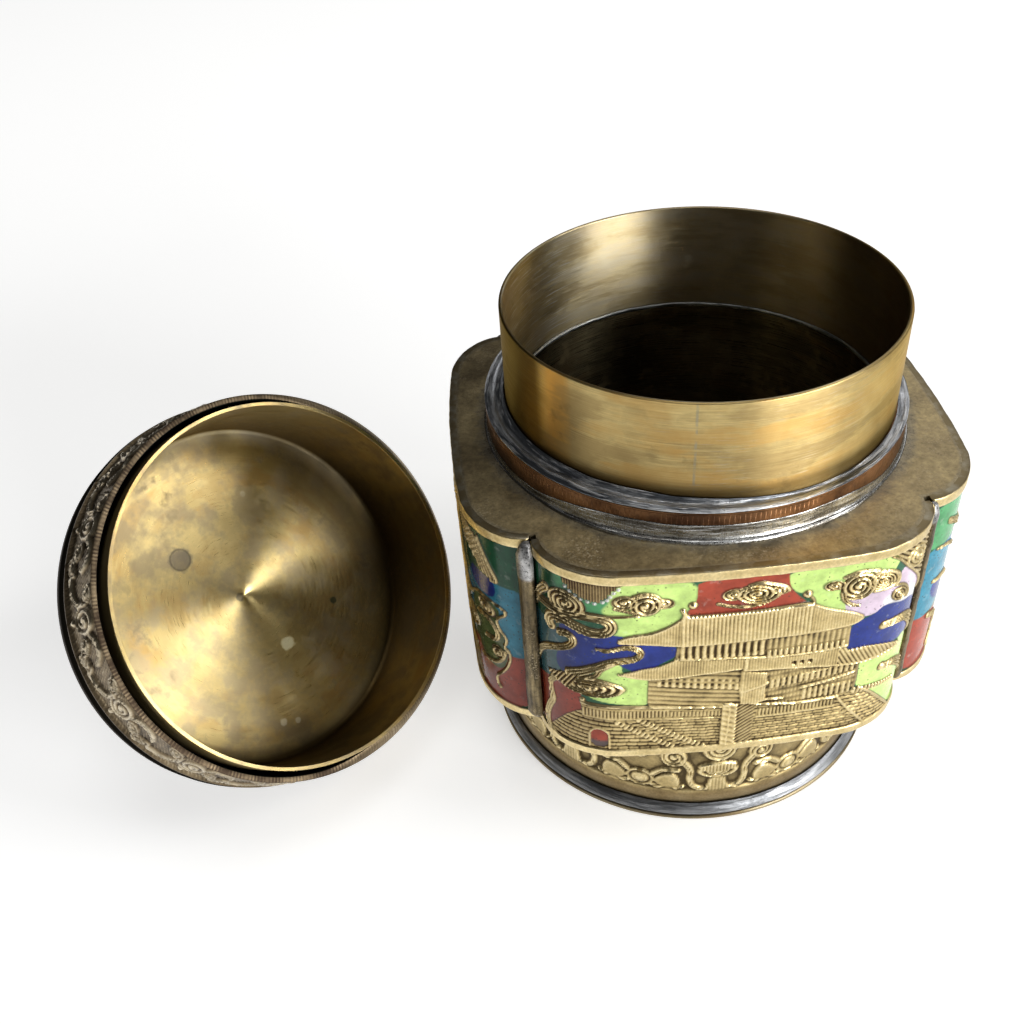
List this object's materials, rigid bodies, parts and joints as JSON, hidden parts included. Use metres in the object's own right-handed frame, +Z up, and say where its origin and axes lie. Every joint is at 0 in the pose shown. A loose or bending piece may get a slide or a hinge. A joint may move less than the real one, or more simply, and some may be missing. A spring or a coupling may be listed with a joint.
{
  "type": "tea caddy",
  "caption": "Lobed square tea caddy in enamelled cast brass with a round neck, standing on a round foot, its domed lid lying beside it.",
  "frame": {"origin": "middle of the underside of the base disc, on the caddy's own axis, level with the floor the lid lies on", "axes": "+Z up along the caddy's axis, -Y out of the front panel, +X to the right seen from the front; the lid lies on the -X side"},
  "size_m": [0.2029, 0.1094, 0.1145],
  "materials": {
    "base_brass": "thin rolled brass, dull, with a worn edge",
    "foot_brass": "cast brass relief, rubbed high spots over dark recesses",
    "plate_brass": "plain rolled brass, dull",
    "front_enamel": "cast brass with coloured enamel in the sunk ground",
    "right_enamel": "cast brass with coloured enamel in the sunk ground",
    "back_enamel": "cast brass with coloured enamel in the sunk ground",
    "left_enamel": "cast brass with coloured enamel in the sunk ground",
    "strip_brass": "dull brown brass strip, darkened",
    "top_plate_brass": "dull brown brass with pale specks",
    "collar_copper": "reddish copper band with fine upright flutes",
    "neck_brass": "brushed yellow brass, brushed round the neck",
    "liner_brass": "brushed brass, darker towards the bottom",
    "lid_cup_brass": "brushed brass with grey stains",
    "lid_shell_brass": "cast brass, almost black in the ground and worn on the band",
    "finial_brass": "turned brass, dull",
    "base_solder": "grey tin solder",
    "collar_solder": "bright tin solder",
    "neck_solder": "grey tin solder, bright on its crest",
    "liner_solder": "grey tin solder"
  },
  "bodies": {
    "root": {"base_disc": "base_brass", "base_solder": "base_solder", "foot_drum": "foot_brass", "bottom_plate": "plate_brass", "panel_front": "front_enamel", "panel_right": "right_enamel", "panel_back": "back_enamel", "panel_left": "left_enamel", "corner_strip_front_left": "strip_brass", "corner_strip_front_right": "strip_brass", "corner_strip_back_right": "strip_brass", "corner_strip_back_left": "strip_brass", "top_plate": "top_plate_brass", "copper_collar": "collar_copper", "collar_solder": "collar_solder", "neck_solder": "neck_solder", "neck_tube": "neck_brass", "liner_solder": "liner_solder", "inner_liner": "liner_brass", "lid_cup": "lid_cup_brass", "lid_shell": "lid_shell_brass", "lid_finial": "finial_brass"}
  },
  "joints": []
}
